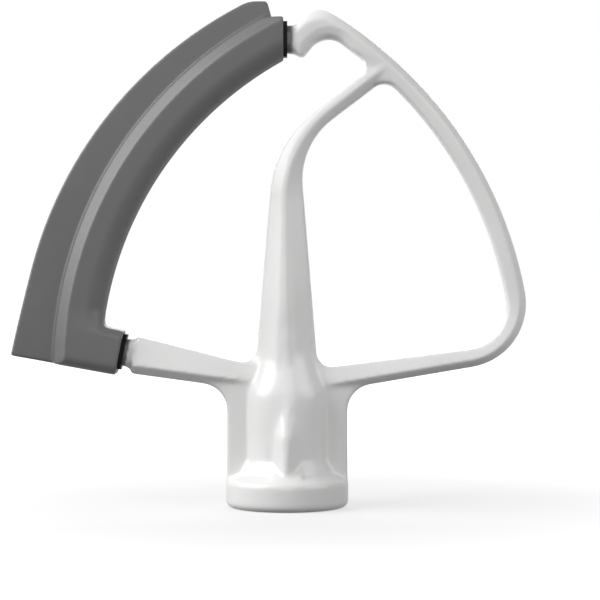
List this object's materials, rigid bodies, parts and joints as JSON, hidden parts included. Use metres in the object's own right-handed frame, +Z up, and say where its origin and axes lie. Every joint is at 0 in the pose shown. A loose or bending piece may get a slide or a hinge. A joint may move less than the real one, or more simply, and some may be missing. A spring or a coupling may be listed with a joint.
{
  "type": "stand mixer flat beater",
  "caption": "Flat beater for a tilt-head stand mixer, with a flexible scraper edge along one side and a hub bored for the mixer's shaft.",
  "frame": {"origin": "centre of the hub's mouth, where the wall of the shaft bore starts, on the mouth face's plane to within half a millimetre", "axes": "+Z up the shaft bore, from the hub's mouth towards the beater's top; the beater lies flat in the XZ plane with its flexible edge on the -X side; -Y is the front that the picture shows"},
  "size_m": [0.1364, 0.0324, 0.1338],
  "materials": {
    "coated_casting": "glossy white nylon coating over a cast aluminium frame",
    "carrier_plastic": "black moulded nylon",
    "edge_silicone": "matte grey silicone"
  },
  "bodies": {
    "root": {"beater_frame": "coated_casting", "edge_carrier": "carrier_plastic", "flex_edge": "edge_silicone"}
  },
  "joints": []
}
